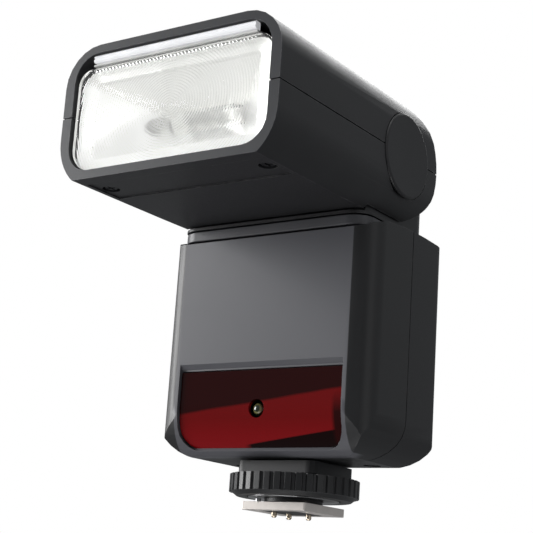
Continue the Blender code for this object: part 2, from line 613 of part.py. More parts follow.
def build_turret():
    collar_plan = rounded(-NECK_HALF_WIDTH, NECK_HALF_WIDTH, BODY_FRONT, NECK_REAR, 5.0, 5)
    collar = prism("swivel_collar", [collar_plan], "Z",
                   COLLAR_LOW, COLLAR_TOP, "plate_graphite")
    combine(collar, cylinder("collar_bore", (0, 0, 68), 6.0, 20, sides=32))

    saddle_side = [(TURRET_FRONT, FLANGE_LOW), (TURRET_REAR, FLANGE_LOW), (TURRET_REAR, 79.0),
                   (TURRET_REAR - 1.0, 79.8), (7.0, 79.8), (-16.0, 74.0), (-16.8, FLANGE_TOP),
                   (TURRET_FRONT, FLANGE_TOP)]
    saddle = prism("turret_base", [turret_plan()], "Z", 60, 90, "casing_black")
    combine(saddle, prism("saddle_side", [saddle_side], "X", -40, 40), "INTERSECT")
    flange_plan = turret_plan(NECK_HALF_WIDTH - TURRET_HALF_WIDTH)
    combine(saddle, prism("flange", [flange_plan], "Z", FLANGE_LOW, FLANGE_TOP),
            "UNION")
    combine(saddle, cylinder("barrel_seat", (0, TILT_Y, TILT_Z), BARREL_RADIUS + GAP, 70, "X", sides=48))
    combine(saddle, cylinder("saddle_bore", (0, 0, 70), 6.0, 30, sides=32))

    tube = turned("swivel_tube", (0, 0, 0),
                  [(5.7, 71.6), (5.7, 66.0), (8.6, 66.0), (8.6, 64.8), (4.4, 64.8), (4.4, 71.6)],
                  finish="steel", steps=32)

    width = 2 * TURRET_HALF_WIDTH
    barrel = cylinder("hinge_barrel", (0, TILT_Y, TILT_Z), BARREL_RADIUS, width, "X", "casing_black", 48)
    combine(barrel, cylinder("barrel_hollow", (0, TILT_Y, TILT_Z), BARREL_RADIUS - 1.8, 80, "X", sides=40))
    combine(barrel, cylinder("cable_hole", (0, 0, 70), 5.0, 16, sides=24))

    for side, x in (("left", -1), ("right", 1)):
        turned(f"tilt_disc_{side}", (x * 25.6, TILT_Y, TILT_Z),
               [(12.2, 1.0), (12.2, -1.0), (3.4, -1.0), (3.4, 1.0)], "X", "steel", 32)
    cylinder("tilt_shaft", (0, TILT_Y, TILT_Z), 3.0, 57.6, "X", "steel", 24)


# ---- Lamp head


def head_section(inset, bottom, top):
    """The head from the front: wide arcs meet the flat underside in an edge, the top corners are rounder."""
    side = HEAD_HALF_WIDTH - inset
    low = 13.4 - inset
    drop = 80.8 - bottom
    start = -math.degrees(math.asin(min(1.0, drop / low)))
    high = 9.8 - inset
    return mirrored(arc(side - low, 80.8, low, start, 0, 7) + arc(side - high, top - high, high, 0, 90, 6))


def head_side(inset):
    """The head from the side: level underside and top, round rear end about the tilt axis."""
    r = ROUND_END - inset
    front = HEAD_FRONT - 2 if inset else HEAD_FRONT
    base = TILT_Z - ROUND_END + inset
    points = [(front, HEAD_BOTTOM + inset), (-28.0, HEAD_BOTTOM + inset), (-16.0, base)]
    points += arc(TILT_Y, TILT_Z, r, -90, 90, 18)
    points += [(-20.0, HEAD_TOP - 0.9 - inset), (-40.0, HEAD_TOP - 0.2 - inset), (front, HEAD_TOP - inset)]
    return points


def head_solid(name, inset, finish=None):
    bottom = HEAD_BOTTOM + inset - 0.2
    front = -64 if inset else HEAD_FRONT
    solid = prism(name, [head_section(inset, bottom - 0.3, HEAD_TOP - inset)], "Y", front, 12,
                  finish)
    combine(solid, prism(name + "_side", [head_side(inset)], "X", -36, 36), "INTERSECT")
    return solid


def build_head():
    hollow = head_solid("head_cavity", HEAD_WALL)
    combine(hollow, box("behind_rim", (-40, HEAD_FRONT + 3.4, 60), (40, 20, 110)), "INTERSECT")
    mouth = prism("head_mouth", [mirrored(arc(MOUTH_HALF_WIDTH - 6.4, MOUTH_BOTTOM + 6.4, 6.4, -90, 0, 6)
                  + arc(MOUTH_HALF_WIDTH - 6.8, MOUTH_TOP - 6.8, 6.8, 0, 90, 6))], "Y", -66, -50)
    slot_side = TURRET_HALF_WIDTH + 0.4
    slot_low = box("turret_slot", (-slot_side, -17.6, 60), (slot_side, 20, TILT_Z + 2))
    wedge_side = [(-20, 60), (20, 60), (20, 103), (-1.0, 103), (TILT_Y + 2, TILT_Z)]
    slot_wedge = prism("turret_wedge", [wedge_side], "X",
                       -TURRET_HALF_WIDTH - 0.4, TURRET_HALF_WIDTH + 0.4)
    seats = [cylinder("cap_seat_" + side, (x * 33.2, TILT_Y, TILT_Z), CAP_RADIUS + GAP, 6, "X", sides=44)
             for side, x in (("left", -1), ("right", 1))]
    shaft_hole = cylinder("shaft_hole", (0, TILT_Y, TILT_Z), 3.4, 80, "X", sides=20)
    room = BARREL_RADIUS + GAP
    barrel_room = cylinder("barrel_room", (0, TILT_Y, TILT_Z), room, 2 * TURRET_HALF_WIDTH + 0.8, "X",
                           sides=48)

    upper = head_solid("head_upper_casing", 0, "casing_black")
    lower = head_solid("head_lower_casing", 0, "casing_black")
    for shell, zone in (
        (upper, box("upper_zone", (-40, -70, HEAD_SPLIT + GAP / 2), (40, 20, 110))),
        (lower, box("lower_zone", (-40, -70, 60), (40, 20, HEAD_SPLIT - GAP / 2))),
    ):
        combine(shell, zone, "INTERSECT")
        for cutter in [hollow, mouth, slot_low, slot_wedge, barrel_room, shaft_hole] + seats:
            combine(shell, cutter)
    label = [(-25.0, -58.4), (25.0, -58.4), (25.0, -46.4), (-25.0, -46.4)]
    combine(lower, prism("label_recess", [label], "Z", 60,
                         HEAD_BOTTOM + 0.35))
    for side, x in (("left", -22.5), ("right", 22.5)):
        combine(lower, cylinder("head_screw_seat_" + side, (x, -52.6, 71.0), 2.2, 2.2, sides=20))
        combine(lower, cylinder("head_screw_bore_" + side, (x, -52.6, 74), 1.15, 6, sides=12))
        screw("head_screw_" + side, (x, -52.6, 71.1), 1.8, 0.7, 1.6)

    for side, x in (("left", -1), ("right", 1)):
        dish = [(0.0, 0.2), (6.0, 0.3), (CAP_RADIUS - 0.5, 0.4)]
        dish += [(CAP_RADIUS, 0.15), (CAP_RADIUS, -0.5), (0.0, -0.5)]
        flipped = [(r, -h) for r, h in reversed(dish)]
        centre = (x * HEAD_HALF_WIDTH, TILT_Y, TILT_Z)
        turned("hinge_cap_" + side, centre, dish if x > 0 else flipped, "X", "casing_black", 44)


def build_light():
    lens_half = MOUTH_HALF_WIDTH - GAP
    outline = mirrored(arc(lens_half - 6.2, MOUTH_BOTTOM + GAP + 6.2, 6.2, -90, 0, 6)
                       + arc(lens_half - 4.0, LENS_TOP - 4.0, 4.0, 0, 90, 5))
    prism("fresnel_lens", [outline], "Y", LENS_FRONT, LENS_FRONT + LENS_THICK, "clear_plastic")

    y0, y1 = REFLECTOR_FRONT, REFLECTOR_FRONT + REFLECTOR_DEPTH
    reflector_profile = [(y0, 75.2), (y0 + 5, 76.4), (y0 + 10, 79.2), (y1 - 1.5, 82.6), (y1, 85.4)]
    reflector_profile += [(y1, 87.4), (y1 - 1.5, 90.2), (y0 + 10, 92.6), (y0 + 5, 95.0), (y0, 96.2)]
    bowl = prism("reflector", [reflector_profile], "X", -24.6, 24.6, "reflector_silver")
    inner = [(y0 - 1, 76.0)]
    inner += [(y - 0.9, z + (0.8 if z < HEAD_SPLIT else -0.8)) for y, z in reflector_profile[1:-1]]
    inner.append((y0 - 1, 95.4))
    combine(bowl, prism("reflector_bowl", [inner], "X", -23.8, 23.8))
    combine(bowl, cylinder("tube_clearance", (0, y1 - 4.4, 86.4), TUBE_RADIUS + 0.5, 60, "X", sides=20))
    cylinder("flash_tube", (0, y1 - 4.4, 86.4), TUBE_RADIUS, 54.0, "X", "tube_glass", 20)

    carriage = box("zoom_carriage", (-25.6, y1 + 0.4, 78.0), (25.6, y1 + 2.4, 94.0), "button_black", 0.3, 1)
    for side, x in (("left", -1), ("right", 1)):
        lug = box("lug_" + side, (x * ROD_X - 1.6, y1 + 0.4, 75.6), (x * ROD_X + 1.6, y1 + 5.4, 78.9))
        combine(carriage, lug, "UNION")
        combine(carriage, cylinder("lug_bore_" + side, (x * ROD_X, y1, ROD_Z), 1.15, 20, "Y", sides=16))
        cylinder("guide_rod_" + side, (x * ROD_X, -42.0, ROD_Z), 0.85, 33.0, "Y", "steel", 16)
    combine(carriage, box("nut_lug", (-2.4, y1 + 0.4, 72.7), (2.4, y1 + 2.4, 79.0)), "UNION")
    combine(carriage, cylinder("nut_bore", (0, y1, SCREW_Z), 1.0, 20, "Y", sides=14))
    cylinder("lead_screw", (0, -36.7, SCREW_Z), 0.75, 15.6, "Y", "steel", 14)
    box("zoom_motor", (-4.0, -28.6, 72.7), (4.0, -21.6, 80.0), "steel", 0.6, 1)

    box("panel_tray", (-26.0, -56.5, 96.9), (26.0, -24.0, 97.6), "button_black")
    box("wide_panel", (-23.8, -61.6, 99.55), (23.8, -21.0, 100.75), "clear_plastic", 0.2, 1)
    box("bounce_card", (-23.6, -61.6, 98.8), (23.6, -22.0, 99.25), "card_white")


def hold(obj, joint):
    """Parents a piece to a joint's empty and keeps it where it is."""
    obj.parent = joint
    obj.matrix_parent_inverse = joint.matrix_world.inverted()


def rig():
    """Empties on the swivel and tilt axes, with the pieces that each carries."""
    swivel = bpy.data.objects.new("swivel_axis", None)
    tilt = bpy.data.objects.new("tilt_axis", None)
    for empty, point in ((swivel, (0, 0, FLANGE_LOW)), (tilt, (0, TILT_Y, TILT_Z))):
        parts.objects.link(empty)
        empty.matrix_world = Matrix.Translation(Vector(point) * MM)
    bpy.context.view_layer.update()
    hold(tilt, swivel)
    turret_pieces = ["turret_base", "swivel_tube", "hinge_barrel"]
    turret_pieces += ["tilt_disc_left", "tilt_disc_right", "tilt_shaft"]
    for name in turret_pieces:
        hold(bpy.data.objects[name], swivel)
    head_pieces = ["head_upper_casing", "head_lower_casing", "hinge_cap_left", "hinge_cap_right"]
    head_pieces += ["head_screw_left", "head_screw_right", "fresnel_lens", "wide_panel", "bounce_card"]
    head_pieces += ["guide_rod_left", "guide_rod_right", "zoom_motor", "lead_screw", "panel_tray"]
    head_pieces += ["zoom_carriage", "reflector", "flash_tube"]
    for name in head_pieces:
        hold(bpy.data.objects[name], tilt)


build_body()
build_door()
build_port()
build_controls()
build_electrics()
build_foot()
build_turret()
build_head()
build_light()
rig()
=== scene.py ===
# Looks of a compact speedlight flash: its finishes, lens, reflector, small details, studio and camera.
import math

import bmesh
import bpy
from mathutils import Matrix, Vector


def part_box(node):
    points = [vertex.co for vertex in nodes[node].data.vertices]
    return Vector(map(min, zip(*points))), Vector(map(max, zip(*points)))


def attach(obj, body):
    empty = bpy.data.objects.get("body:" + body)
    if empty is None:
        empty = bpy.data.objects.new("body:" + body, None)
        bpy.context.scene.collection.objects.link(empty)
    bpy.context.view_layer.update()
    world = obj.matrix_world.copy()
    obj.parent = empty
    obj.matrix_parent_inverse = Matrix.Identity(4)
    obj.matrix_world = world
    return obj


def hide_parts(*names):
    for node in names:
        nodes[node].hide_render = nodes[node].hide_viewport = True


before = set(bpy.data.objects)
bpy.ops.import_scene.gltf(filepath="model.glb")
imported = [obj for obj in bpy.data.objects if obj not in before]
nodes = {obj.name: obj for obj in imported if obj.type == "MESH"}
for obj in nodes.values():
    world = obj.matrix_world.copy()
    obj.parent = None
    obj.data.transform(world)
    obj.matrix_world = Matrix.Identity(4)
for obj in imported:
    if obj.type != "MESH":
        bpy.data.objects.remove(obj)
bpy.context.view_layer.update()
mm = 0.001  # metres in a millimetre
print("frame loaded:", len(nodes), "nodes")


def span(name):
    # lowest and highest corner of a CAD piece, in millimetres
    low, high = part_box(name)
    return [c / mm for c in low], [c / mm for c in high]


def middle(name):
    # the (x, z) middle of a CAD piece
    low, high = span(name)
    return (low[0] + high[0]) / 2, (low[2] + high[2]) / 2


# shaders: a socket that can stand in a sum, and one method that makes any node

class Wire:
    # one socket: sums on it add Math nodes to its tree
    def __init__(self, owner, socket):
        self.owner = owner
        self.socket = socket

    def maths(self, operation, *values):
        return self.owner.add("Math", {"operation": operation}, dict(enumerate(values)))

    def __add__(self, other):
        return self.maths("ADD", self, other)

    def __radd__(self, other):
        return self.maths("ADD", other, self)

    def __sub__(self, other):
        return self.maths("SUBTRACT", self, other)

    def __rsub__(self, other):
        return self.maths("SUBTRACT", other, self)

    def __mul__(self, other):
        return self.maths("MULTIPLY", self, other)

    def __rmul__(self, other):
        return self.maths("MULTIPLY", other, self)

    def __truediv__(self, other):
        return self.maths("DIVIDE", self, other)

    def __rtruediv__(self, other):
        return self.maths("DIVIDE", other, self)

    def __abs__(self):
        return self.maths("ABSOLUTE", self)

    def root(self):
        return self.maths("SQRT", self)

    def fraction(self):
        return self.maths("FRACT", self)

    def highest(self, other):
        return self.maths("MAXIMUM", self, other)


class NodeTree:
    def __init__(self, tree):
        self.tree = tree

    def give(self, socket, value):
        # a link, a colour or a plain value into a socket
        if isinstance(value, Wire):
            self.tree.links.new(value.socket, socket)
        elif isinstance(value, tuple) and len(socket.default_value) == 4:
            socket.default_value = (*value, 1.0)
        else:
            socket.default_value = value

    def add(self, kind, settings=None, values=None, out=0):
        node = self.tree.nodes.new("ShaderNode" + kind)
        for key, value in (settings or {}).items():
            setattr(node, key, value)
        for key, value in (values or {}).items():
            self.give(node.inputs[key], value)
        return Wire(self, node.outputs[out])


class Finish(NodeTree):
    # one material, with its fixed values on the shader's own sockets
    sockets = {"colour": "Base Color", "roughness": "Roughness", "metallic": "Metallic", "ior": "IOR",
               "transmission": "Transmission Weight", "coat": "Coat Weight", "normal": "Normal",
               "specular": "Specular IOR Level", "glow": "Emission Strength", "glowColour": "Emission Color"}

    def __init__(self, name, **fixed):
        self.material = bpy.data.materials.new(name)
        self.material.use_nodes = True
        super().__init__(self.material.node_tree)
        self.shader = self.tree.nodes["Principled BSDF"]
        for socket, value in fixed.items():
            self.set(socket, value)

    def set(self, socket, value):
        self.give(self.shader.inputs[self.sockets[socket]], value)

    def place(self):
        # where the surface is, in millimetres: output 3 holds object coordinates
        spot = self.add("TexCoord", out=3)
        return self.add("VectorMath", {"operation": "SCALE"}, {0: spot, "Scale": 1.0 / mm})

    def axes(self):
        split = self.add("SeparateXYZ", values={0: self.place()})
        return [Wire(self, socket) for socket in split.socket.node.outputs]

    def noise(self, size, detail=2.0, rough=0.5, stretch=None):
        # cloudy pattern with patches of about this size in millimetres
        spot = self.place()
        if stretch:
            spot = self.add("VectorMath", {"operation": "MULTIPLY"}, {0: spot, 1: stretch})
        values = {"Vector": spot, "Scale": 1.0 / size, "Detail": detail, "Roughness": rough}
        return self.add("TexNoise", values=values)

    def mix(self, share, a, b):
        # sockets 6 and 7 of the Mix node carry its colours
        return self.add("Mix", {"data_type": "RGBA"}, {0: share, 6: a, 7: b}, out=2)

    def step(self, value, low, high):
        # 0 below low, 1 above high, even between them
        return self.add("MapRange", {"clamp": True}, {0: value, 1: low, 2: high, 3: 0.0, 4: 1.0})

    def edges(self, radius):
        # 1 along edges: where hands and bags rub, and where a painted edge highlight goes
        soft = self.add("Bevel", {"samples": 4}, {"Radius": radius * mm})
        flat = self.add("NewGeometry", out=1)
        along = self.add("VectorMath", {"operation": "DOT_PRODUCT"}, {0: soft, 1: flat}, out=1)
        return self.step(1.0 - along, 0.01, 0.12)

    def bump(self, height, depth):
        return self.add("Bump", values={"Height": height, "Distance": depth * mm, "Strength": 1.0})


def shade(colour, share, lift=0.0):
    # a colour made darker or paler
    return tuple(c * share + lift for c in colour)


# moulded plastics, metals and glossy sleeves

mouldLook = {"wearAndHighlightEdge": 0.35, "wearAndHighlightPatch": 2.2, "wearAndHighlightPale": 2.2, "wearAndHighlightLift": 0.09, "rubShine": 0.15,
             "mottle": 9.0, "mottleShine": 0.08, "grainShine": 0.16}


def moulded(name, colour, roughness, grain=0.32, depth=0.012, wearAndHighlightShare=0.35, zone=None, zoneColour=None):
    # textured moulding: fine spark grain, faint mottle, paler edges that are partly rubbed wear and partly a
    # painted edge highlight, and a zone of another colour
    look, made = mouldLook, Finish(name)
    fine = made.noise(grain, 3.0, 0.6)
    mottle = made.noise(look["mottle"], 2.0)
    wearAndHighlight = made.edges(look["wearAndHighlightEdge"]) * made.step(made.noise(look["wearAndHighlightPatch"], 3.0), 0.35, 0.75) * wearAndHighlightShare
    skin = made.mix(made.step(mottle, 0.3, 0.7) * 0.5, colour, shade(colour, 1.3, 0.002))
    if zone:
        skin = made.mix(zone(made), skin, made.mix(mottle, zoneColour, shade(zoneColour, 0.93)))
    # paler edges: rubbed wear together with a painted highlight along the edges
    made.set("colour", made.mix(wearAndHighlight, skin, shade(colour, look["wearAndHighlightPale"], look["wearAndHighlightLift"])))
    uneven = (fine - 0.5) * look["grainShine"] + (mottle - 0.5) * look["mottleShine"]
    made.set("roughness", roughness + uneven - wearAndHighlight * look["rubShine"])
    made.set("normal", made.bump(fine, depth))
    return made


zoneLook = {"plateHalfWidth": 24.75, "plateFront": -12.0, "plateFade": 3.0, "rimFront": -62.2, "rimFade": 0.3}


def plateLitZone(made):
    # the flat front panel between its two long edges: painted light, paler than the rest of the same casing
    # where the light falls on its front
    x, y, _ = made.axes()
    half, front = zoneLook["plateHalfWidth"], zoneLook["plateFront"]
    inside = 1.0 - made.step(abs(x), half, half + 0.2)
    return inside * (1.0 - made.step(y, front, front + zoneLook["plateFade"]))


def rimZone(made):
    # the front face of the head, around the lens
    front = zoneLook["rimFront"]
    return 1.0 - made.step(made.axes()[1], front, front + zoneLook["rimFade"])


def metal(name, colour, roughness, brush=(1.0, 1.0, 14.0), depth=0.004, shine=1.0):
    # drawn or turned metal with fine tool marks
    made = Finish(name, metallic=shine)
    marks = made.noise(1.6, 3.0, 0.6, brush)
    stain = made.noise(5.0, 3.0)
    made.set("colour", made.mix(made.step(stain, 0.35, 0.75) * 0.6, colour, shade(colour, 0.8)))
    made.set("roughness", roughness + (marks - 0.5) * 0.12 + made.step(stain, 0.5, 0.8) * 0.08)
    made.set("normal", made.bump(marks, depth))
    return made


def glossy(name, colour, roughness, **fixed):
    # smooth sleeve, glass or paint with faint smears
    made = Finish(name, **fixed)
    smear = made.noise(6.0, 4.0, 0.6)
    made.set("colour", made.mix(made.step(smear, 0.3, 0.7), colour, shade(colour, 0.75)))
    made.set("roughness", roughness + made.step(smear, 0.4, 0.8) * 0.08)
    made.set("normal", made.bump(made.noise(0.5, 2.0), 0.002))
    return made


def clear(name, tint, roughness, ior=1.49):
    # see-through plastic or glass with faint smears
    made = Finish(name, transmission=1.0, ior=ior)
    smear = made.noise(7.0, 4.0, 0.6)
    made.set("colour", made.mix(made.step(smear, 0.3, 0.7), tint, shade(tint, 0.97)))
    made.set("roughness", roughness + made.step(smear, 0.45, 0.8) * 0.03)
    return made


finishes = {
    "casing": moulded("casing black", (0.0125, 0.0125, 0.014), 0.46),
    "headCasing": moulded("head casing black", (0.0135, 0.0135, 0.015), 0.44, wearAndHighlightShare=1.0, zone=rimZone,
                          zoneColour=(0.019, 0.020, 0.024)),
    # the front panel's paler zone colour is painted light on the face that meets the lamps
    "plate": moulded("front casing black", (0.0115, 0.0115, 0.0125), 0.43, grain=0.26, depth=0.008, wearAndHighlightShare=0.8,
                     zone=plateLitZone, zoneColour=(0.086, 0.086, 0.097)),
    "neck": moulded("neck graphite", (0.060, 0.060, 0.066), 0.42),
    "ring": moulded("ring black", (0.011, 0.011, 0.012), 0.40, grain=0.42, depth=0.03, wearAndHighlightShare=0.6),
    "button": moulded("button black", (0.014, 0.014, 0.015), 0.52, depth=0.010),
    "rubber": moulded("rubber black", (0.012, 0.012, 0.012), 0.72, grain=0.22, depth=0.014, wearAndHighlightShare=0.1),
    "innerBlack": moulded("inner black", (0.018, 0.018, 0.019), 0.55, wearAndHighlightShare=0.1),
    "holderPlastic": moulded("holder plastic", (0.030, 0.030, 0.031), 0.5, wearAndHighlightShare=0.1),
    "foot": metal("foot nickel", (0.80, 0.745, 0.70), 0.30, (1.0, 12.0, 1.0), shine=0.5),
    "steel": metal("plain steel", (0.52, 0.52, 0.53), 0.30),
    "screwBlack": metal("blackened screw", (0.045, 0.045, 0.048), 0.34),
    "brass": metal("contact gilt", (0.66, 0.56, 0.44), 0.26),
    "copper": metal("lacquered copper", (0.60, 0.27, 0.12), 0.38, (14.0, 1.0, 1.0), 0.02),
    "solder": metal("solder tin", (0.60, 0.60, 0.61), 0.35),
    "sleeve": glossy("capacitor sleeve", (0.018, 0.020, 0.030), 0.30),
    "display": glossy("display glass", (0.20, 0.23, 0.18), 0.22),
    "chip": glossy("chip resin", (0.020, 0.020, 0.022), 0.42),
    "ceramic": glossy("ceramic part", (0.35, 0.22, 0.12), 0.5),
    "cell": glossy("cell sleeve", (0.035, 0.045, 0.075), 0.28),
    "white": glossy("white icon paint", (0.75, 0.75, 0.74), 0.45),
    "card": glossy("white card", (0.80, 0.80, 0.78), 0.42),
    # the panel lip glows: a painted highlight along the wide panel's front edge
    "lip": glossy("panel lip", (0.95, 0.95, 0.96), 0.10, coat=0.6, glow=0.3, glowColour=(0.95, 0.96, 1.0)),
    "panelClear": clear("panel acrylic", (0.98, 0.985, 0.985), 0.02),
    "tubeGlass": clear("tube quartz", (0.98, 0.98, 0.97), 0.02, 1.46),
}
print("plain finishes made:", len(finishes))


# display window: dark printed border with a clear smoked middle

screenLook = {"halfWidth": 16.4, "halfHeight": 7.5, "middle": 55.9, "fade": 0.1,
              "border": (0.008, 0.008, 0.009), "smeared": (0.012, 0.012, 0.013), "smoke": (0.72, 0.74, 0.74)}


def screenFinish():
    look, made = screenLook, Finish("screen window")
    x, _, z = made.axes()
    across = made.step(abs(x), look["halfWidth"], look["halfWidth"] + look["fade"])
    tall = made.step(abs(z - look["middle"]), look["halfHeight"], look["halfHeight"] + look["fade"])
    smear = made.step(made.noise(8.0, 4.0, 0.6), 0.35, 0.8)
    made.set("colour", made.mix(smear, look["border"], look["smeared"]))
    made.set("roughness", 0.06 + smear * 0.10)
    glass = made.add("BsdfPrincipled", values={"Base Color": look["smoke"], "Roughness": 0.04,
                                               "Transmission Weight": 1.0})
    border = Wire(made, made.shader.outputs[0])
    blend = made.add("MixShader", values={0: across.highest(tall), 1: glass, 2: border})
    made.give(made.tree.nodes["Material Output"].inputs[0], blend)
    return made


# photo sensor: dark green dome with an olive ring round its pupil

sensorLook = {"dome": (0.010, 0.018, 0.009), "ring": (0.17, 0.16, 0.06), "rim": (0.012, 0.011, 0.008)}


def sensorFinish():
    look, made = sensorLook, Finish("sensor lens", coat=0.5)
    x, _, z = made.axes()
    middleX, middleZ = middle("photo_sensor")
    across, up = x - middleX, z - middleZ
    reach = (across * across + up * up).root()
    ring = made.step(reach, 0.75, 0.9) * (1.0 - made.step(reach, 1.15, 1.35))
    colour = made.mix(ring, look["dome"], look["ring"])
    made.set("colour", made.mix(made.step(reach, 1.7, 1.9), colour, look["rim"]))
    made.set("roughness", 0.07 + ring * 0.2)
    return made


# red window: deep red, with painted shade above and painted light coming through below, and painted shade at
# its lower right and down its right edge

windowLook = {"dark": (0.020, 0.0014, 0.0014), "lit": (0.145, 0.0034, 0.0040),
              "lowLit": (0.21, 0.0050, 0.0075), "shade": (0.006, 0.0006, 0.0006),
              "side": (0.02, 0.001, 0.001), "wave": 0.8, "blur": 0.35,
              "litSlope": 0.115, "litHeight": 25.0, "shadeSlope": 0.12, "shadeHeight": 15.3}


def windowFinish():
    look, made = windowLook, Finish("window red", roughness=0.05, specular=0.22, coat=0.0)
    x, _, z = made.axes()
    wave = (made.noise(14.0, 1.0) - 0.5) * look["wave"]
    # painted shade above the sloping line, painted light coming through below it
    above = z - (x * look["litSlope"] + look["litHeight"]) + wave
    lit = 1.0 - made.step(above, -look["blur"], look["blur"])
    low = 1.0 - made.step(z, 14.0, 21.0)
    colour = made.mix(lit, look["dark"], made.mix(low, look["lit"], look["lowLit"]))
    # painted shade at the lower right, and a strip of painted shade down the right edge
    under = 1.0 - made.step(z - x * look["shadeSlope"], look["shadeHeight"], look["shadeHeight"] + 0.3)
    colour = made.mix(made.step(x, -5.0, -3.0) * under, colour, look["shade"])
    side = made.step(x, 20.6, 21.6) * (1.0 - made.step(z, 22.0, 27.0))
    made.set("colour", made.mix(side, colour, look["side"]))
    return made


# circuit boards: green lacquer over copper tracks, chips and small parts as (x, z, width, height)

boardLook = {
    "lacquer": (0.010, 0.075, 0.030), "lacquerPale": (0.014, 0.10, 0.042), "track": (0.030, 0.17, 0.075),
    "chips": [(-18, 56, 7, 7), (-6, 58, 5, 4), (4, 52, 8, 5), (-16, 43, 5, 8), (8, 42, 6, 6)],
    "small": [(-23, 48), (-21, 62), (-10, 50), (-8, 44), (-2, 46), (0, 62), (6, 60), (12, 56), (13, 48),
              (-24, 40), (16, 44), (20, 42), (-12, 62), (22, 46)],
    "smallSize": (1.5, 0.9), "leg": (1.0, 0.45), "legPitch": 1.1, "lamps": (-12.0, 9.0), "lampRadius": 2.4,
}


def boardFinish():
    look, made = boardLook, Finish("board green", coat=0.2)
    rows = made.add("TexWave", {"wave_type": "BANDS", "bands_direction": "Z"},
                    {"Vector": made.place(), "Scale": 0.9, "Distortion": 3.0})
    track = made.step(rows, 0.72, 0.8)
    base = made.mix(made.noise(4.0), look["lacquer"], look["lacquerPale"])
    made.set("colour", made.mix(track, base, look["track"]))
    made.set("roughness", 0.36 + track * 0.08)
    made.set("normal", made.bump(track, 0.02))
    return made


finishes["screenWindow"] = screenFinish()
finishes["sensor"] = sensorFinish()
finishes["windowRed"] = windowFinish()
finishes["board"] = boardFinish()


# dressing the CAD pieces: rounded edges, smooth round faces and a finish each

softLook = {"angle": 26.0, "flat": 0.8, "weld": 0.002}


def soften(piece, edge, segments):
    mesh = piece.data
    mesh.polygons.foreach_set("use_smooth", [True] * len(mesh.polygons))
    if "custom_normal" in mesh.attributes:
        mesh.attributes.remove(mesh.attributes["custom_normal"])
    weld = piece.modifiers.new("weld", "WELD")
    weld.merge_threshold = softLook["weld"] * mm
    flat = piece.modifiers.new("merge flat faces", "DECIMATE")
    flat.decimate_type = "DISSOLVE"
    flat.angle_limit = math.radians(softLook["flat"])
    if edge:
        rounding = piece.modifiers.new("edge rounding", "BEVEL")
        rounding.width = edge * mm
        rounding.segments = segments
        rounding.limit_method = "ANGLE"
        rounding.angle_limit = math.radians(softLook["angle"])
        rounding.harden_normals = False
    even = piece.modifiers.new("even shading", "WEIGHTED_NORMAL")
    even.keep_sharp = True


# finish, rounding in millimetres, segments of the rounding, pieces
dressing = [
    ("headCasing", 0.5, 3, "head_upper_casing head_lower_casing"),
    ("plate", 0.35, 3, "front_casing"),
    ("casing", 0.25, 2, "rear_casing battery_door"),
    ("casing", 0.22, 2, "turret_base hinge_barrel hinge_cap_left hinge_cap_right pedestal"),
    ("neck", 0.25, 2, "swivel_collar"),
    ("ring", 0.16, 2, "lock_ring"),
    ("foot", 0.16, 2, "foot_plate"),
    ("innerBlack", 0.1, 2, "contact_insert"),
    ("brass", 0.06, 2, "contact_pin_1 contact_pin_2 contact_pin_3"),
    ("screwBlack", 0.05, 2, "head_screw_left head_screw_right body_screw_left body_screw_right"),
    ("steel", 0.1, 2, "clamp_plate lock_pin tilt_disc_left tilt_disc_right tilt_shaft swivel_tube"),
    ("steel", 0.1, 2, "guide_rod_left guide_rod_right lead_screw zoom_motor"),
    ("steel", 0.1, 2, "battery_contact battery_door_pin usb_socket"),
    ("holderPlastic", 0.12, 2, "zoom_carriage panel_tray battery_holder"),
    ("cell", 0.25, 2, "battery_cell_1 battery_cell_2"),
    ("button", 0.18, 2, "mode_button sync_button zoom_button test_button set_button"),
    ("button", 0.18, 2, "select_dial power_switch"),
    ("rubber", 0.12, 2, "usb_cover"),
    ("screenWindow", 0.12, 2, "lcd_window"),
    ("display", 0.15, 2, "lcd_module"),
    ("sleeve", 0.2, 2, "main_capacitor"),
    ("copper", 0.25, 2, "transformer"),
    ("sensor", 0.05, 2, "photo_sensor"),
    ("card", 0.08, 2, "bounce_card"),
    ("tubeGlass", 0.0, 2, "flash_tube"),
    ("panelClear", 0.15, 2, "wide_panel"),
    ("windowRed", 0.12, 2, "red_window"),
    ("board", 0.05, 2, "main_board assist_lamp_board"),
]

for finish, edge, segments, names in dressing:
    for name in names.split():
        piece = nodes[name]
        piece.data.materials.clear()
        piece.data.materials.append(finishes[finish].material)
        soften(piece, edge, segments)
print("CAD pieces dressed")


# mesh helpers for the new pieces, all lengths in millimetres

def meshPiece(name, points, faces, finish, body, slot, smooth=False):
    mesh = bpy.data.meshes.new(name)
    mesh.from_pydata([(x * mm, y * mm, z * mm) for x, y, z in points], [], faces)
    mesh.validate()
    shape = bmesh.new()
    shape.from_mesh(mesh)
    bmesh.ops.remove_doubles(shape, verts=shape.verts, dist=0.001 * mm)
    bmesh.ops.recalc_face_normals(shape, faces=shape.faces)
    shape.to_mesh(mesh)
    shape.free()
    piece = bpy.data.objects.new(name, mesh)
    bpy.context.scene.collection.objects.link(piece)
    mesh.materials.append(finishes[finish].material)
    mesh.polygons.foreach_set("use_smooth", [smooth] * len(mesh.polygons))
    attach(piece, body)
    return piece


def arc(cx, cy, radius, start, end, count):
    turns = [math.radians(start + (end - start) * i / count) for i in range(count + 1)]
    return [(cx + radius * math.cos(a), cy + radius * math.sin(a)) for a in turns]


def roundBox(x0, x1, y0, y1, r, count):
    return (arc(x1 - r, y0 + r, r, -90, 0, count) + arc(x1 - r, y1 - r, r, 0, 90, count)
            + arc(x0 + r, y1 - r, r, 90, 180, count) + arc(x0 + r, y0 + r, r, 180, 270, count))


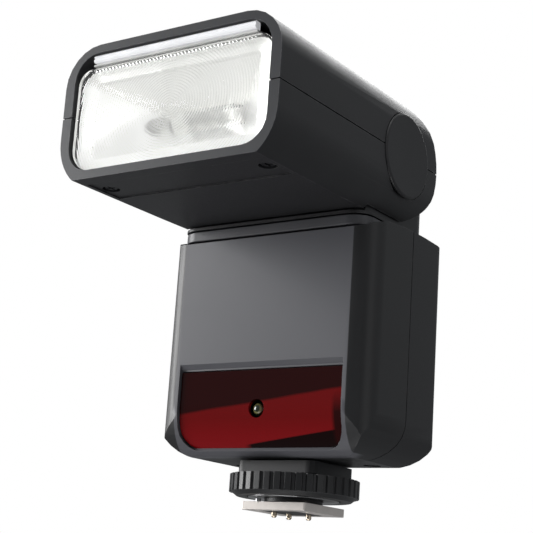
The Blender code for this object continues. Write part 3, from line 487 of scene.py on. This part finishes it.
def bar(x, z, width, height):
    corner = min(width, height) * 0.3
    return roundBox(x - width / 2, x + width / 2, z - height / 2, z + height / 2, corner, 3)


def bands(layers, count, around=False):
    # faces between one ring of points and the next, and from the last to the first if it goes around
    faces = []
    for i in range(layers if around else layers - 1):
        above = (i + 1) % layers * count
        for j in range(count):
            k = (j + 1) % count
            faces.append((i * count + j, i * count + k, above + k, above + j))
    return faces


def pillow(outline, levels):
    # a closed solid through scaled copies of an (x, z) outline: levels are (y, inset)
    points, count = [], len(outline)
    cx = sum(x for x, z in outline) / count
    cz = sum(z for x, z in outline) / count
    for y, inset in levels:
        for x, z in outline:
            reach = math.hypot(x - cx, z - cz)
            share = max(0.02, (reach - inset) / reach)
            points.append((cx + (x - cx) * share, y, cz + (z - cz) * share))
    faces = bands(len(levels), count)
    faces.append(tuple(range(count)))
    faces.append(tuple((len(levels) - 1) * count + j for j in reversed(range(count))))
    return points, faces


def frameOf(rings):
    # a closed frame through (outline, y) rings
    points = [(x, y, z) for outline, y in rings for x, z in outline]
    return points, bands(len(rings), len(rings[0][0]), True)


def alongX(profile, halfWidth):
    # a closed profile of (y, z) points carried from side to side
    count = len(profile)
    points = [(side * halfWidth, y, z) for side in (-1, 1) for y, z in profile]
    return points, bands(2, count) + [tuple(range(count)), tuple(reversed(range(count, 2 * count)))]


def joined(parts):
    # several solids in one mesh
    points, faces = [], []
    for more, around in parts:
        start = len(points)
        points += more
        faces += [tuple(i + start for i in face) for face in around]
    return points, faces


# lens: a clear slab with ring grooves outside, prisms on its top edge and a pale frame behind

lensLook = {"pitch": 0.74, "groove": 0.028, "oval": 1.15, "corner": 6.2, "topCorner": 4.0, "fade": 1.2,
            "sideGap": 0.02, "frontGap": 0.05, "backGap": 0.4,
            "across": 400, "up": 180, "teeth": 46, "teethHalfWidth": 23.0, "tooth": 0.33,
            "acrylic": (0.99, 0.99, 0.985), "smeared": (0.97, 0.975, 0.965), "riser": (0.74, 0.75, 0.73)}
surroundLook = {"outer": (-27.7, 27.7, 73.2, 98.1, 4.5), "inner": (-23.6, 23.6, 76.1, 95.3, 1.2),
                "outerFront": -59.32, "innerFront": -58.75, "innerBack": -58.6, "outerBack": -59.15}


def lensFinish():
    # clear acrylic with painted shade: a little greyer on the steep side of every ring
    look, made = lensLook, Finish("lens acrylic", transmission=1.0, ior=1.49)
    x, _, z = made.axes()
    high = (z - middle("fresnel_lens")[1]) * look["oval"]
    ring = ((x * x + high * high).root() / look["pitch"]).fraction()
    riser = 1.0 - made.step(abs(ring - 0.25), 0.08, 0.26)
    smear = made.step(made.noise(7.0, 4.0, 0.6), 0.3, 0.7)
    colour = made.mix(smear, look["acrylic"], look["smeared"])
    made.set("colour", made.mix(riser * 0.55, colour, look["riser"]))
    made.set("roughness", 0.03 + smear * 0.02)
    return made


def lensEdges(x, low, high):
    # lower and upper edge of the lens at a distance x from its middle
    bottom, top = low[2], high[2]
    for corner, up in ((lensLook["corner"], True), (lensLook["topCorner"], False)):
        into = abs(x) - (high[0] - corner)
        if into > 0:
            rise = corner - math.sqrt(max(0.0, corner ** 2 - into ** 2))
            bottom, top = (bottom + rise, top) if up else (bottom, top - rise)
    return bottom, top


def makeLens():
    look = lensLook
    low, high = span("fresnel_lens")
    across, up = look["across"], look["up"]
    middleZ = middle("fresnel_lens")[1]
    points, faces = [], []
    for i in range(across + 1):
        x = low[0] + look["sideGap"] + (high[0] - low[0] - 2 * look["sideGap"]) * i / across
        bottom, top = lensEdges(x, low, high)
        for j in range(up + 1):
            z = bottom + (top - bottom) * j / up
            ring = math.hypot(x, (z - middleZ) * look["oval"]) / look["pitch"]
            edge = max(0.0, min(1.0, (high[0] - abs(x)) / look["fade"], top - z, z - bottom))
            wave = 0.5 + 0.5 * math.cos(2 * math.pi * ring)
            y = low[1] + look["frontGap"] + look["groove"] * wave * edge
            points.append((x, y, z))
    row = up + 1
    for i in range(across):
        for j in range(up):
            a = i * row + j
            faces.append((a, a + row, a + row + 1, a + 1))
    border = ([i * row for i in range(across + 1)] + [across * row + j for j in range(1, up + 1)]
              + [i * row + up for i in reversed(range(across))] + [j for j in reversed(range(1, up))])
    start = len(points)
    points += [(points[a][0], high[1] - look["backGap"], points[a][2]) for a in border]
    for k, a in enumerate(border):
        following = (k + 1) % len(border)
        faces.append((a, start + k, start + following, border[following]))
    faces.append(tuple(range(start, len(points))))
    lens = meshPiece("fresnelLens", points, faces, "lensClear", "head", "clear_plastic")
    sides = lens.data.polygons  # only the grooved front is smooth, so that the back stays flat
    sides.foreach_set("use_smooth", [abs(face.normal.y) > 0.3 and len(face.vertices) == 4 for face in sides])
    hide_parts("fresnel_lens")


def makePrismRow():
    look = lensLook
    low, high = span("fresnel_lens")
    parts = []
    for k in range(look["teeth"]):
        x = -look["teethHalfWidth"] + 2 * look["teethHalfWidth"] * k / (look["teeth"] - 1)
        outline = roundBox(x - look["tooth"], x + look["tooth"], high[2] - 1.25, high[2] - 0.55, 0.12, 2)
        levels = [(low[1] - 0.25, 0.2), (low[1] - 0.1, 0.0), (low[1] + 0.02, 0.0)]
        parts.append(pillow(outline, levels))
    meshPiece("lensPrismRow", *joined(parts), "lensClear", "head", "clear_plastic")


def makeSurround():
    # pale frame that closes the gap between the lens and the reflector, in the reflector's glowing finish
    # (painted light)
    look = surroundLook
    outer, inner = roundBox(*look["outer"], 6), roundBox(*look["inner"], 6)
    rings = [(outer, look["outerFront"]), (inner, look["innerFront"]),
             (inner, look["innerBack"]), (outer, look["outerBack"])]
    meshPiece("lensSurround", *frameOf(rings), "mirror", "head", "reflector_silver")


# reflector: a bright trough that glows as painted light, with flared end walls and cross facets

reflectorLook = {"wall": 0.4, "facets": 11, "flat": 0.18, "ripple": 0.10, "halfWidth": 24.1, "crease": 0.05,
                 "across": 96, "around": 48,
                 "frontGap": 0.1, "backGap": 0.6, "edgeGap": 0.5, "flare": 1.7,
                 "bright": (0.98, 0.98, 0.98), "hazy": (0.93, 0.93, 0.92),
                 "upper": (0.72, 0.72, 0.70), "stripPaintedShade": (0.55, 0.55, 0.55)}


def reflectorFinish():
    # bright plating that glows as painted light, with painted reflections: end walls and lower wall
    # brightest, painted shade on the upper wall and a greyer painted shade strip behind the tube
    look, made = reflectorLook, Finish("reflector silver", metallic=0.55, glow=0.24)
    x, _, z = made.axes()
    ripple = made.noise(2.6, 3.0, 0.5)
    haze = made.noise(8.0, 2.0)
    side, tall = abs(x), abs(z - middle("reflector")[1])
    stripPaintedShade = (1.0 - made.step(side, 5.2, 6.0)) * (1.0 - made.step(tall, 2.0, 2.6))
    wing = made.step(side * 0.42 - tall, 1.2, 2.2)
    upper = made.step(z, 86.5, 89.0) * (1.0 - wing)
    colour = made.mix(made.step(haze, 0.3, 0.7), look["bright"], look["hazy"])
    colour = made.mix(upper * 0.55, colour, look["upper"])
    colour = made.mix(stripPaintedShade * 0.8, colour, look["stripPaintedShade"])
    made.set("colour", colour)
    # the glow repeats the colour: the plating gives out painted light
    made.set("glowColour", colour)
    made.set("roughness", 0.30 + made.step(ripple, 0.3, 0.7) * 0.08)
    made.set("normal", made.bump(ripple, 0.03))
    return made


def makeTrough():
    # hip shaped bowl: long upper and lower walls, two end walls, creases from corner to tube
    look = reflectorLook
    low, high = span("reflector")
    front, back = low[1] + look["frontGap"], high[1] - look["backGap"]
    middleZ, halfZ = middle("reflector")[1], (high[2] - low[2]) / 2 - look["edgeGap"]
    across, around, crease = look["across"], look["around"], look["crease"]
    points, faces = [], []
    for i in range(across + 1):
        u = -1 + 2 * i / across
        run = max(0.0, (abs(u) - look["flat"]) / (1 - look["flat"]))
        end = 1 - run ** look["flare"]
        for j in range(around + 1):
            v = -1 + 2 * j / around
            long = 1 - v ** 2
            hip = min(long, end)
            if abs(long - end) < crease:
                hip -= (crease - abs(long - end)) ** 2 / (4 * crease)
            facet = look["ripple"] * math.sin(math.pi * look["facets"] * u) * long * end
            points.append((u * look["halfWidth"], front + (back - front) * hip + facet, middleZ + v * halfZ))
    row = around + 1
    for i in range(across):
        for j in range(around):
            a = i * row + j
            faces.append((a, a + 1, a + row + 1, a + row))
    trough = meshPiece("reflectorTrough", points, faces, "mirror", "zoom_carriage", "reflector_silver", True)
    sheet = trough.modifiers.new("sheet thickness", "SOLIDIFY")
    sheet.thickness = look["wall"] * mm
    sheet.offset = 1.0
    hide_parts("reflector")


finishes["lensClear"] = lensFinish()
finishes["mirror"] = reflectorFinish()
makeTrough()
makeLens()
makePrismRow()
makeSurround()
print("lens and reflector made")


# wide angle panel: clear slab with a thick front lip and prism ridges below

panelLook = {"halfWidth": 23.3, "lip": 1.4, "lipTop": 101.35, "lipReach": 0.5, "lipRound": 0.35,
             "grooveDeep": 0.22, "grooveHalf": 0.25, "ridge": 0.22, "pitch": 1.1}


def makePanel():
    look = panelLook
    low, high = span("wide_panel")
    lipBack, base = low[1] + look["lip"], low[2] + 0.02
    profile = [(high[1], high[2]), (lipBack - 0.1, high[2]), (lipBack - 0.1, base)]
    for k in range(int((high[1] - lipBack - 1.0) / look["pitch"])):
        y = lipBack + 0.4 + k * look["pitch"]
        profile += [(y, base), (y + look["pitch"] / 2, base + look["ridge"])]
    profile.append((high[1], base))
    panel = meshPiece("widePanel", *alongX(profile, look["halfWidth"]), "panelClear", "wide_panel",
                      "clear_plastic")
    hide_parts("wide_panel")
    front, top, corner = low[1] - look["lipReach"], look["lipTop"], look["lipRound"]
    groove, half, deep = (base + top) / 2 + 0.1, look["grooveHalf"], front + look["grooveDeep"]
    lip = [(lipBack, base), (lipBack, top - 0.2), (lipBack - 0.2, top), (front + corner, top),
           (front, top - corner), (front, groove + half), (deep, groove + half - 0.1),
           (deep, groove - half + 0.1), (front, groove - half), (front, base + 0.3), (front + 0.3, base)]
    # the lip takes the glowing lip finish: a painted highlight
    meshPiece("widePanelLip", *alongX(lip, look["halfWidth"]), "lip", "wide_panel", "clear_plastic")


# head seam: a tongue inside each side wall closes the joint between the two head casings

tongueLook = {"side": 29.8, "thick": 0.8, "seam": 86.4, "tall": 0.9, "runs": [(-62.2, -17.8), (5.1, 8.4)]}


def makeTongue():
    look = tongueLook
    parts = []
    for side in (-1, 1):
        outline = bar(side * look["side"], look["seam"], look["thick"], look["tall"])
        for start, end in look["runs"]:
            levels = [(start, 0.15), (start + 0.2, 0.0), (end - 0.2, 0.0), (end, 0.15)]
            parts.append(pillow(outline, levels))
    meshPiece("headSeamTongue", *joined(parts), "innerBlack", "head", "casing_black")


makePanel()
makeTongue()
print("panel and head seam made")


# rear controls: printed marks and grip ridges, placed from the middle of each control

markLook = {"root": 0.12, "height": 0.07, "ringHeight": 0.06,
            "lines": (3.0, 2.2, 1.4), "lineGap": 0.9, "lineThick": 0.35,
            "bolt": [(0.45, 1.5), (-0.95, -0.2), (-0.1, -0.2), (-0.5, -1.5), (1.0, 0.3), (0.1, 0.3)],
            "glass": (-0.2, 0.3, 1.0, 0.72),
            "handle": [(0.4, -0.25), (0.6, -0.05), (1.4, -0.85), (1.2, -1.05)],
            "arrowReach": 7.1, "arrow": 0.8, "setRing": (2.6, 2.3), "testRing": (1.7, 1.35),
            "ridges": 3, "ridge": (4.2, 0.5), "ridgeHeight": 0.3}


def mark(name, outline, body, finish="white", height=markLook["height"]):
    face = span(body)[1][1]
    levels = [(face - markLook["root"], 0.0), (face + height * 0.6, 0.0), (face + height, 0.04)]
    meshPiece(name, *pillow(outline, levels), finish, body, "button_black")


def ringMark(name, x, z, radii, body, sink=0.0):
    face = span(body)[1][1] - sink
    outer, inner = (arc(x, z, radius, 0, 360, 36)[:-1] for radius in radii)
    root, top = face - markLook["root"], face + markLook["ringHeight"]
    rings = [(outer, root), (outer, top), (inner, top), (inner, root)]
    meshPiece(name, *frameOf(rings), "white", body, "button_black")


def moved(shape, x, z):
    return [(x + a, z + b) for a, b in shape]


def makeRearMarks():
    look = markLook
    x, z = middle("mode_button")
    for k, width in enumerate(look["lines"]):
        line = bar(x, z + (1 - k) * look["lineGap"], width, look["lineThick"])
        mark("modeMark" + str(k + 1), line, "mode_button")
    mark("syncMark", moved(look["bolt"], *middle("sync_button")), "sync_button")
    x, z = middle("zoom_button")
    right, up, outer, inner = look["glass"]
    ringMark("zoomMark", x + right, z + up, (outer, inner), "zoom_button")
    mark("zoomMarkHandle", moved(look["handle"], x, z), "zoom_button")
    x, z = middle("select_dial")
    for k in range(4):
        turn = math.radians(90 * k)
        size, reach = look["arrow"], look["arrowReach"]
        tip = [(size * math.cos(turn + a), size * math.sin(turn + a)) for a in (0, 2.2, -2.2)]
        arrow = moved(tip, x + reach * math.cos(turn), z + reach * math.sin(turn))
        mark("dialMark" + str(k + 1), arrow, "select_dial")
    ringMark("setMark", x, z, look["setRing"], "set_button", 0.06)
    ringMark("testMark", *middle("test_button"), look["testRing"], "test_button", 0.02)
    x, z = middle("power_switch")
    for k in range(look["ridges"]):
        mark("switchRidge" + str(k + 1), bar(x, z + k - 1, *look["ridge"]), "power_switch", "button",
             look["ridgeHeight"])


makeRearMarks()
print("rear marks made")


# board parts: chips with their legs, small parts, and the two assist lamps

def onBoard(face, outline, tall, top, chamfer):
    return pillow(outline, [(face - 0.1, 0.0), (face + tall, 0.0), (face + top, chamfer)])


def makeBoardParts():
    look = boardLook
    face = span("main_board")[1][1]
    chips, legs = [], []
    for x, z, width, tall in look["chips"]:
        chips.append(onBoard(face, bar(x, z, width, tall), 0.5, 0.6, 0.15))
        count = int(tall / look["legPitch"])
        for k in range(count):
            spot = z - tall / 2 + (k + 0.5) * tall / count
            for side in (-1, 1):
                leg = bar(x + side * (width / 2 + 0.4), spot, *look["leg"])
                legs.append(onBoard(face, leg, 0.15, 0.2, 0.05))
    meshPiece("boardChips", *joined(chips), "chip", "body", "board_green")
    meshPiece("boardChipLegs", *joined(legs), "solder", "body", "board_green")
    small = [onBoard(face, bar(x, z, *look["smallSize"]), 0.45, 0.55, 0.1) for x, z in look["small"]]
    meshPiece("boardSmallParts", *joined(small), "ceramic", "body", "board_green")
    face = span("assist_lamp_board")[0][1]
    dome = [(face + 0.1, 0.0), (face - 0.3, 0.0), (face - 0.75, 0.5), (face - 1.0, 1.3)]
    lamps = []
    for x in look["lamps"]:
        outline = arc(x, middle("assist_lamp_board")[1], look["lampRadius"], 0, 360, 24)[:-1]
        lamps.append(pillow(outline, dome))
    meshPiece("assistLamps", *joined(lamps), "panelClear", "body", "clear_plastic", True)


makeBoardParts()
print("board parts made")


# camera: aimed at a point of the flash's middle plane, in millimetres and degrees, with a square frame

cameraLook = {"azimuth": 36.1, "elevation": -13.48, "roll": 4.15, "distance": 364.9, "focal": 1374.9,
              "centreX": 241.6, "centreY": 275.5, "aimX": -20.8, "aimZ": 62.11, "frame": 533.0,
              "sensor": 36.0}


def outwards(azimuth, elevation):
    # a direction out from the flash: azimuth 0 is its front, 90 its right side
    a, e = math.radians(azimuth), math.radians(elevation)
    return Vector((math.sin(a) * math.cos(e), -math.cos(a) * math.cos(e), math.sin(e)))


def makeCamera():
    look = cameraLook
    azimuth, roll = math.radians(look["azimuth"]), math.radians(look["roll"])
    out = outwards(look["azimuth"], look["elevation"])
    right = Vector((math.cos(azimuth), math.sin(azimuth), 0.0))
    up = right.cross(-out)
    right, up = right * math.cos(roll) + up * math.sin(roll), up * math.cos(roll) - right * math.sin(roll)
    camera = bpy.data.objects.new("camera", bpy.data.cameras.new("camera"))
    bpy.context.scene.collection.objects.link(camera)
    turn = Matrix((right, up, out)).transposed().to_4x4()
    spot = Vector((look["aimX"], 0.0, look["aimZ"])) * mm + out * look["distance"] * mm
    camera.matrix_world = Matrix.Translation(spot) @ turn
    camera.data.sensor_width = look["sensor"]
    camera.data.lens = look["focal"] * look["sensor"] / look["frame"]
    camera.data.shift_x = (look["frame"] / 2 - look["centreX"]) / look["frame"]
    camera.data.shift_y = (look["centreY"] - look["frame"] / 2) / look["frame"]
    camera.data.clip_start = 0.01
    bpy.context.scene.camera = camera


# studio: large soft lights, a pale surround and a pale floor, all in metres

lightLook = {  # azimuth, elevation, distance, size, power
    "key": (-64, 8, 1.4, (0.8, 0.8), 22.0),
    "top": (75, 68, 0.9, (0.7, 0.5), 2.0),
    "fill": (80, 5, 1.0, (0.5, 0.5), 0.45),
    "back": (198, 35, 1.1, (0.7, 0.5), 5.0),
    "under": (10, -70, 0.6, (0.5, 0.4), 1.5),
}
studioLook = {"lightsRound": (0, -0.02, 0.07), "surround": (0.94, 0.97, 1.0), "low": 0.18, "high": 0.38,
              "lowAt": -0.35, "highAt": 0.8, "floor": -0.04, "floorReach": 8.0, "floorGlow": 0.68}


def softLight(name, azimuth, elevation, distance, size, power):
    lamp = bpy.data.lights.new(name, "AREA")
    lamp.shape = "RECTANGLE"
    lamp.size, lamp.size_y = size
    lamp.energy = power
    holder = bpy.data.objects.new(name, lamp)
    bpy.context.scene.collection.objects.link(holder)
    out = outwards(azimuth, elevation)
    holder.location = Vector(studioLook["lightsRound"]) + out * distance
    holder.rotation_euler = out.to_track_quat("Z", "Y").to_euler()


def makeSurroundings():
    # white where it is seen straight or through the lens, a dimmer sweep where it lights or is mirrored
    look = studioLook
    world = bpy.data.worlds.new("studio")
    bpy.context.scene.world = world
    world.use_nodes = True
    made = NodeTree(world.node_tree)
    height = made.add("SeparateXYZ", values={0: made.add("TexCoord")}, out=2)
    strength = made.add("MapRange", values={0: height, 1: look["lowAt"], 2: look["highAt"], 3: look["low"],
                                            4: look["high"]})
    sweep = made.add("Background", values={"Color": look["surround"], "Strength": strength})
    white = made.add("Background", values={"Color": (1.0, 1.0, 1.0)})
    straight = made.add("LightPath", out="Is Camera Ray")
    through = made.add("LightPath", out="Is Transmission Ray")
    blend = made.add("MixShader", values={0: straight.highest(through), 1: sweep, 2: white})
    made.give(world.node_tree.nodes["World Output"].inputs[0], blend)


def makeFloor():
    look = studioLook
    pale = Finish("studio floor", roughness=0.9, colour=(0.9, 0.9, 0.9), glowColour=(1.0, 1.0, 1.0),
                  glow=look["floorGlow"])
    mesh = bpy.data.meshes.new("studioFloor")
    reach = look["floorReach"]
    corners = [(-reach, -reach), (reach, -reach), (reach, reach), (-reach, reach)]
    mesh.from_pydata([(x, y, look["floor"]) for x, y in corners], [], [(0, 1, 2, 3)])
    mesh.materials.append(pale.material)
    floor = bpy.data.objects.new("studioFloor", mesh)
    bpy.context.scene.collection.objects.link(floor)
    floor.visible_diffuse = False  # seen by the camera only, so that it throws no light up at the flash
    floor.visible_glossy = False
    floor.visible_transmission = False
    floor.visible_shadow = False


makeCamera()
for name, values in lightLook.items():
    softLight(name, *values)
makeSurroundings()
makeFloor()
bpy.context.scene.view_settings.view_transform = "Standard"
print("camera and studio made")

print("scene finished")
